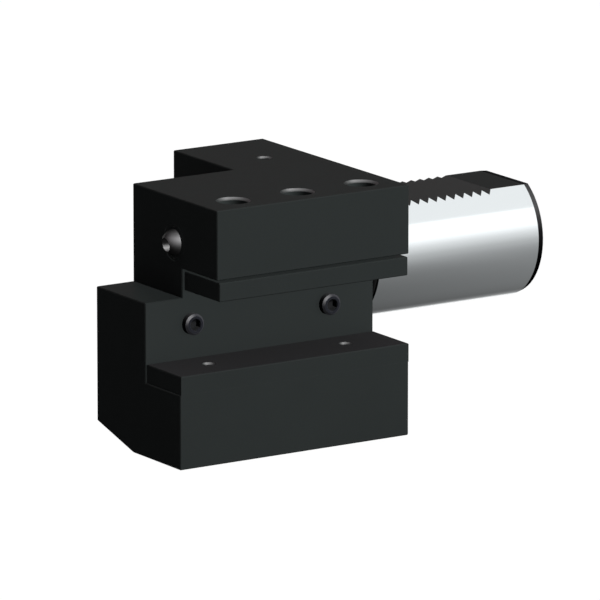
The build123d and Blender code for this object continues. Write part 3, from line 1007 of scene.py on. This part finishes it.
def makeRubberRing(radius, cord):
    # round section with a faint moulding line inside and outside
    sides, flash = rubberShape["sides"], rubberShape["flash"]
    points = []
    for i in range(sides + 1):
        angle = 2 * math.pi * i / sides
        bulge = flash if i % (sides // 2) == 0 else 0
        points.append((radius + (cord + bulge - flash) * math.cos(angle), (cord - flash) * math.sin(angle)))
    ring = turned(points, rubberShape["steps"])
    smoothed(ring, angle=40)
    return ring


ring = makeNozzleRing()
placed(ring, ringPlace, toLeft)
finishPiece(ring, "nozzleRing", stripMaterial, "nozzle_ring", "nozzle_ring")
ball = makeNozzleBall()
drop = math.radians(nozzle["drop"])
placed(ball, (ballX, ballY, ballZ), (-math.cos(drop), 0, -math.sin(drop)))
finishPiece(ball, "nozzleBall", ballMaterial, "nozzle_ball", "nozzle_ball")
seal = makeRubberRing(nozzle["seal"], nozzle["sealCord"])
sealReach = nozzle["ballRadius"] + nozzle["sealCord"] + nozzle["sealGap"]
placed(seal, (ballX + math.sqrt(sealReach ** 2 - nozzle["seal"] ** 2), ballY, ballZ), toRight)
finishPiece(seal, "nozzleSeal", rubberMaterial, "nozzle_seal", "holder")

rubberRings = {
    "shankSeal": {
        "node": "shank_o_ring", "centre": (boxOf("shank_o_ring")[1][0], 0, 0), "radius": 23.6, "cord": 1.35},
    "inletSeal": {
        "node": "coolant_inlet_seal", "centre": boxOf("coolant_inlet_seal")[1], "radius": 5.4, "cord": 1.25},
}
for name, spec in rubberRings.items():
    ring = makeRubberRing(spec["radius"], spec["cord"])
    placed(ring, spec["centre"], toRight)
    finishPiece(ring, name, rubberMaterial, spec["node"], "holder")
print("nozzle and rubber rings made")


# Floor, world, reflection cards, lamps and camera, in metres and degrees

floorSpec = {"height": -0.0601, "size": 30.0, "glow": 0.94, "fill": 0.12, "albedo": 0.12}
worldSpec = {"seen": (1.0, 1.0, 1.0), "fill": (0.115, 0.098, 0.106)}
darkLeft = [(-0.35, 0.02), (-0.1, 0.12), (0.12, 1.0)]  # x and share: the room is dark to the holder's left
floorCard = {
    "corners": ((-0.7, -0.56), (1.4, 0.047)), "height": -0.0598,
    "glow": [(-0.56, 0.62), (-0.243, 0.48), (-0.193, 0.41), (-0.116, 0.31), (-0.080, 0.265), (-0.059, 0.25),
             (-0.043, 0.235), (-0.018, 0.215), (0.003, 0.18), (0.012, 0.155), (0.030, 0.30), (0.047, 0.72)],
}
backLeftCard = {"corners": ((-0.7, 0.047), (-0.115, 1.2)), "height": -0.0598, "glow": 0.02}
frontCard = {
    "y": -0.55, "x": (-0.9, 1.4), "z": (-0.0597, 0.548), "gain": 2.0,
    "glow": [(-0.06, 0.31), (0.047, 0.44), (0.12, 0.58), (0.163, 0.66), (0.548, 0.68)],
}
leftCard = {"x": -0.7, "y": (-1.0, 1.2), "z": (-0.0597, 0.8), "glow": 0.02}
# towards points at the lamp; a level of 1 shows the colours of a surface that faces it as written
lamps = {
    "frontHigh": {"towards": (0.46, -0.69, 0.56), "level": 0.78, "spread": 20.0, "shadow": False},
    "frontLow": {"towards": (0.35, -0.92, 0.14), "level": 0.245, "spread": 15.0, "shadow": False},
    "backFill": {"towards": (0.45, 0.88, 0.12), "level": 0.55, "spread": 30.0, "shadow": True},
}
cameraSpec = {
    "place": (-1.65785, -2.53387, 0.67741), "azimuth": -32.9484, "elevation": 12.9376,
    "lens": 496.6, "sensor": 36.0,  # millimetres
    "clip": (0.1, 100.0),
}


def seenDirectly(tree):
    # 1 for camera, glossy and transmission rays
    path = tree.nodes.new("ShaderNodeLightPath")
    direct = mathNode(tree, "MAXIMUM", path.outputs["Is Camera Ray"], path.outputs["Is Glossy Ray"])
    return mathNode(tree, "MAXIMUM", direct, path.outputs["Is Transmission Ray"])


def buildFloor():
    nothingSelected()
    bpy.ops.mesh.primitive_plane_add(size=floorSpec["size"], location=(0, 0, floorSpec["height"]))
    floor = bpy.context.object
    floor.name = "paleFloor"
    material, tree, shader, place = newMaterial("paleFloor")
    tree.nodes.remove(shader)
    paint = addNode(tree, "ShaderNodeBsdfDiffuse", values={"Color": (floorSpec["albedo"],) * 3 + (1,)})
    glow = addNode(tree, "ShaderNodeEmission")
    strength = mixNumbers(tree, seenDirectly(tree), floorSpec["fill"], floorSpec["glow"])
    both = tree.nodes.new("ShaderNodeAddShader")
    tree.links.new(strength, glow.inputs["Strength"])
    tree.links.new(paint.outputs[0], both.inputs[0])
    tree.links.new(glow.outputs[0], both.inputs[1])
    tree.links.new(both.outputs[0], tree.nodes["Material Output"].inputs["Surface"])
    giveMaterials(floor, material)


def buildWorld():
    world = bpy.data.worlds.new("paleRoom")
    world.use_nodes = True
    tree = world.node_tree
    colour = mixColours(tree, seenDirectly(tree), worldSpec["fill"], worldSpec["seen"])
    tree.links.new(colour, tree.nodes["Background"].inputs["Color"])
    bpy.context.scene.world = world


def buildCard(name, centre, size, turn, paint):
    # a card that only mirror-like surfaces see; paint is its glow, or a function of the place that makes it
    nothingSelected()
    bpy.ops.mesh.primitive_plane_add(size=1, location=centre, rotation=turn)
    card = bpy.context.object
    card.name = name
    card.scale = (size[0], size[1], 1)
    bpy.ops.object.transform_apply(location=True, rotation=True, scale=True)
    material, tree, shader, place = newMaterial(name)
    tree.nodes.remove(shader)
    glow = tree.nodes.new("ShaderNodeEmission")
    strength = paint(tree, partsOf(tree, place)) if callable(paint) else paint
    feed(tree, strength, glow.inputs["Strength"])
    tree.links.new(glow.outputs[0], tree.nodes["Material Output"].inputs["Surface"])
    giveMaterials(card, material)
    for ray in ("camera", "diffuse", "transmission", "volume_scatter", "shadow"):
        setattr(card, f"visible_{ray}", False)


def flatCard(name, spec, paint):
    (x0, y0), (x1, y1) = spec["corners"]
    buildCard(name, ((x0 + x1) / 2, (y0 + y1) / 2, spec["height"]), (x1 - x0, y1 - y0), (0, 0, 0), paint)


def crossCard(name, spec, paint):
    # upright, across the view from the front
    (x0, x1), (z0, z1) = spec["x"], spec["z"]
    centre = ((x0 + x1) / 2, spec["y"], (z0 + z1) / 2)
    buildCard(name, centre, (x1 - x0, z1 - z0), (math.pi / 2, 0, 0), paint)


def sideCard(name, spec, paint):
    # upright, at one side
    (y0, y1), (z0, z1) = spec["y"], spec["z"]
    centre = (spec["x"], (y0 + y1) / 2, (z0 + z1) / 2)
    buildCard(name, centre, (z1 - z0, y1 - y0), (0, math.pi / 2, 0), paint)


def paintFloorCard(tree, parts):
    return times(tree, ramp(tree, parts["Y"], floorCard["glow"]), ramp(tree, parts["X"], darkLeft))


def paintFrontCard(tree, parts):
    glow = times(tree, ramp(tree, parts["Z"], frontCard["glow"]), frontCard["gain"])
    return times(tree, glow, ramp(tree, parts["X"], darkLeft))


def buildLamp(name, spec):
    light = bpy.data.lights.new(name, "SUN")
    light.angle = math.radians(spec["spread"])
    light.energy = spec["level"] * math.pi
    light.use_shadow = spec["shadow"]
    lamp = bpy.data.objects.new(name, light)
    lamp.rotation_euler = Vector(spec["towards"]).to_track_quat("Z", "Y").to_euler()
    lamp.visible_camera = False
    lamp.visible_glossy = False
    bpy.context.scene.collection.objects.link(lamp)


def buildCamera(spec):
    camera = bpy.data.objects.new("photoCamera", bpy.data.cameras.new("photoCamera"))
    azimuth, elevation = math.radians(spec["azimuth"]), math.radians(spec["elevation"])
    level = math.cos(elevation)
    backwards = Vector((math.sin(azimuth) * level, -math.cos(azimuth) * level, math.sin(elevation)))
    camera.location = spec["place"]
    camera.rotation_euler = backwards.to_track_quat("Z", "Y").to_euler()
    camera.data.lens = spec["lens"]
    camera.data.sensor_width = spec["sensor"]
    camera.data.clip_start, camera.data.clip_end = spec["clip"]
    bpy.context.scene.collection.objects.link(camera)
    bpy.context.scene.camera = camera


buildFloor()
buildWorld()
flatCard("floorCard", floorCard, paintFloorCard)
flatCard("backLeftCard", backLeftCard, backLeftCard["glow"])
crossCard("frontCard", frontCard, paintFrontCard)
sideCard("leftCard", leftCard, leftCard["glow"])
for name, spec in lamps.items():
    buildLamp(name, spec)
buildCamera(cameraSpec)
bpy.context.scene.view_settings.view_transform = "Standard"
print("stage, lamps and camera set")
